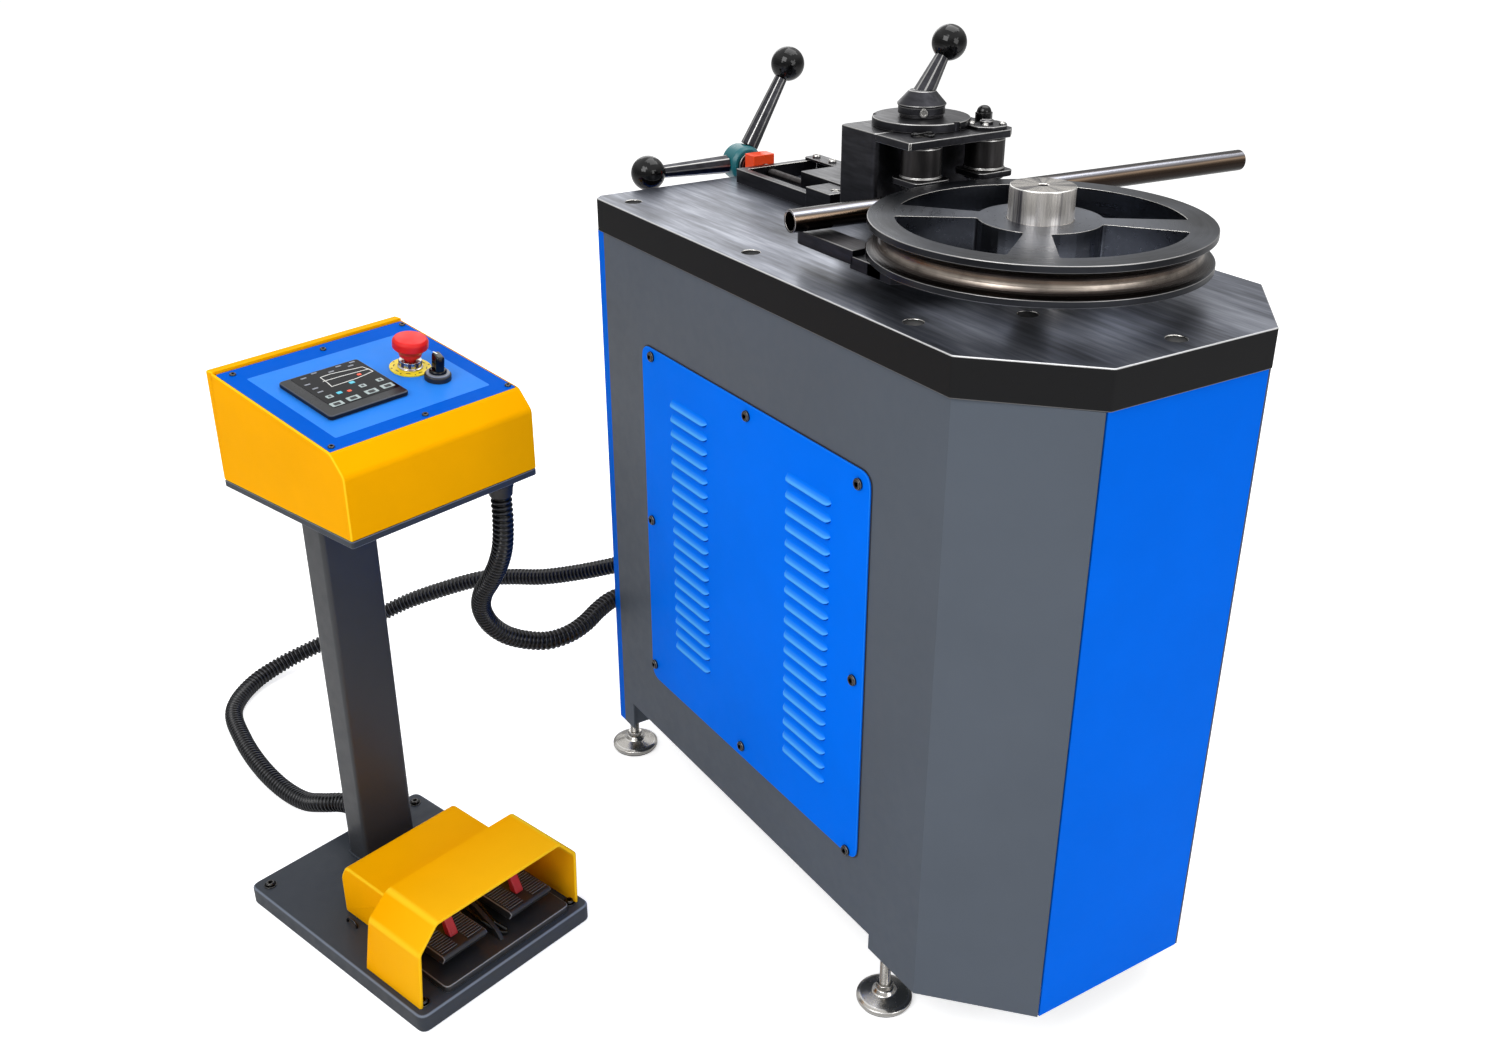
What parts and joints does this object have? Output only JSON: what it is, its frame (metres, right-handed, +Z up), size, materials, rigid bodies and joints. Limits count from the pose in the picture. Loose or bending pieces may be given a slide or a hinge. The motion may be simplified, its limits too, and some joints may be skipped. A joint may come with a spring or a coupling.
{
  "type": "rotary tube bender",
  "caption": "Powered rotary tube bender: cabinet with grooved bending wheel and spindle, roller carriage fed by a capstan screw, pedestal console with screen and guarded foot switch.",
  "frame": {"origin": "on the floor, below the middle of everything but the hoses", "axes": "+X towards the blue front cover at the spindle end, +Y away from the console, +Z up"},
  "size_m": [1.5561, 1.4752, 1.2689],
  "materials": {
    "grey_sheet": "satin powder coat",
    "blue_sheet": "satin powder coat",
    "yellow_sheet": "satin powder coat",
    "slate_paint": "semi-matt textured paint",
    "black_steel": "blackened steel, brushed faces, bare edges",
    "dark_steel": "burnished dark steel",
    "bright_steel": "turned bright steel",
    "stainless_steel": "polished stainless steel",
    "cast_iron": "painted castings",
    "ball_plastic": "glossy black",
    "black_plastic": "matt black moulded",
    "hose_plastic": "semi-gloss black corrugated",
    "orange_block": "semi-gloss orange",
    "teal_paint": "semi-gloss teal",
    "red_plastic": "glossy red",
    "yellow_plastic": "matt yellow",
    "screen_glass": "dark screen in a thin bezel"
  },
  "bodies": {
    "base": {"left_side_panel": "grey_sheet", "right_side_panel": "grey_sheet", "front_cover": "blue_sheet", "rear_cover": "blue_sheet", "vent_panel": "blue_sheet", "control_panel": "blue_sheet", "control_box": "yellow_sheet", "pedal_guard": "yellow_sheet", "cabinet_frame": "slate_paint", "console_base": "slate_paint", "console_column": "slate_paint", "console_floor": "slate_paint", "table_top": "black_steel", "slide_frame": "black_steel", "sample_tube": "dark_steel", "spindle_bearing": "bright_steel", "rear_left_foot": "stainless_steel", "rear_right_foot": "stainless_steel", "front_left_foot": "stainless_steel", "front_right_foot": "stainless_steel", "gearbox_housing": "cast_iron", "bearing_plate": "cast_iron", "drive_motor": "cast_iron", "pedal_tray": "black_plastic", "console_gland": "black_plastic", "rear_glands": "black_plastic", "panel_hose": "hose_plastic", "foot_hose": "hose_plastic", "thrust_block": "orange_block", "stop_collar": "yellow_plastic", "touch_screen": "screen_glass"},
    "spindle_unit": {"spindle": "bright_steel", "spindle_gear": "dark_steel", "bending_wheel": "dark_steel", "tube_hook": "black_steel"},
    "pinion": {"drive_pinion": "dark_steel"},
    "carriage": {"carriage_body": "black_steel", "carriage_top_plate": "black_steel", "lock_disc": "black_steel", "pin_nut": "black_steel", "roller_housing_1": "dark_steel", "roller_housing_2": "dark_steel"},
    "capstan": {"feed_screw": "bright_steel", "capstan_hub": "teal_paint", "capstan_arm_1": "black_steel", "capstan_arm_2": "black_steel", "capstan_arm_3": "black_steel", "capstan_knob_1": "ball_plastic", "capstan_knob_2": "ball_plastic", "capstan_knob_3": "ball_plastic"},
    "follower_1": {"follower_roller_1": "bright_steel"},
    "follower_2": {"follower_roller_2": "bright_steel"},
    "clamp": {"clamp_lever": "black_steel", "clamp_lever_knob": "ball_plastic"},
    "stop": {"stop_button": "red_plastic"},
    "selector": {"selector_knob": "ball_plastic"},
    "left_treadle": {"left_pedal": "black_plastic"},
    "right_treadle": {"right_pedal": "black_plastic"},
    "left_flap": {"left_latch": "red_plastic"},
    "right_flap": {"right_latch": "red_plastic"}
  },
  "joints": [
    {"name": "spindle_turn", "type": "hinge", "parent": "base", "child": "spindle_unit", "pos_m": [0.26998, 0.18731, 1.062], "axis": [0, 0, 1], "range_deg": [0, 180]},
    {"name": "pinion_turn", "type": "hinge", "parent": "base", "child": "pinion", "pos_m": [0.13938, 0.18731, 0.865], "axis": [0, 0, 1], "range_deg": [-600, 0]},
    {"name": "carriage_feed", "type": "slide", "parent": "base", "child": "carriage", "axis": [1, 0, 0], "range_m": [-0.09, 0]},
    {"name": "capstan_turn", "type": "hinge", "parent": "base", "child": "capstan", "pos_m": [-0.47902, 0.22931, 1.0115], "axis": [1, 0, 0], "range_deg": [0, 1625]},
    {"name": "follower_1_spin", "type": "hinge", "parent": "carriage", "child": "follower_1", "pos_m": [0.02598, 0.19631, 1.062], "axis": [0, 0, 1], "continuous": true},
    {"name": "follower_2_spin", "type": "hinge", "parent": "carriage", "child": "follower_2", "pos_m": [0.02598, 0.30631, 1.062], "axis": [0, 0, 1], "continuous": true},
    {"name": "clamp_turn", "type": "hinge", "parent": "carriage", "child": "clamp", "pos_m": [-0.03602, 0.24231, 1.16], "axis": [0, 0, 1], "range_deg": [0, 110]},
    {"name": "stop_press", "type": "slide", "parent": "base", "child": "stop", "axis": [-0.1534, -0.046, -0.9871], "range_m": [0, 0.005]},
    {"name": "selector_turn", "type": "hinge", "parent": "base", "child": "selector", "pos_m": [-0.32476, -0.37342, 0.81452], "axis": [0.1534, 0.046, 0.9871], "range_deg": [-45, 45]},
    {"name": "left_pedal_press", "type": "hinge", "parent": "base", "child": "left_treadle", "pos_m": [-0.09475, -0.54663, 0.062], "axis": [-0.2874, 0.9578, 0], "range_deg": [0, 10], "stiffness_Nm_per_rad": 1, "springref_deg": -11.46},
    {"name": "left_flap_tip", "type": "hinge", "parent": "left_treadle", "child": "left_flap", "pos_m": [-0.05835, -0.53572, 0.076], "axis": [0.2874, -0.9578, 0], "range_deg": [0, 20], "stiffness_Nm_per_rad": 0.05, "springref_deg": -17.19},
    {"name": "right_pedal_press", "type": "hinge", "parent": "base", "child": "right_treadle", "pos_m": [-0.13009, -0.42882, 0.062], "axis": [-0.2874, 0.9578, 0], "range_deg": [0, 10], "stiffness_Nm_per_rad": 1, "springref_deg": -11.46},
    {"name": "right_flap_tip", "type": "hinge", "parent": "right_treadle", "child": "right_flap", "pos_m": [-0.0937, -0.4179, 0.076], "axis": [0.2874, -0.9578, 0], "range_deg": [0, 20], "stiffness_Nm_per_rad": 0.05, "springref_deg": -17.19}
  ],
  "couplings": [
    {"joint": "pinion_turn", "follows": "spindle_turn", "ratio": -3.3333},
    {"joint": "capstan_turn", "follows": "carriage_feed", "rad_per_m": -314.16}
  ]
}
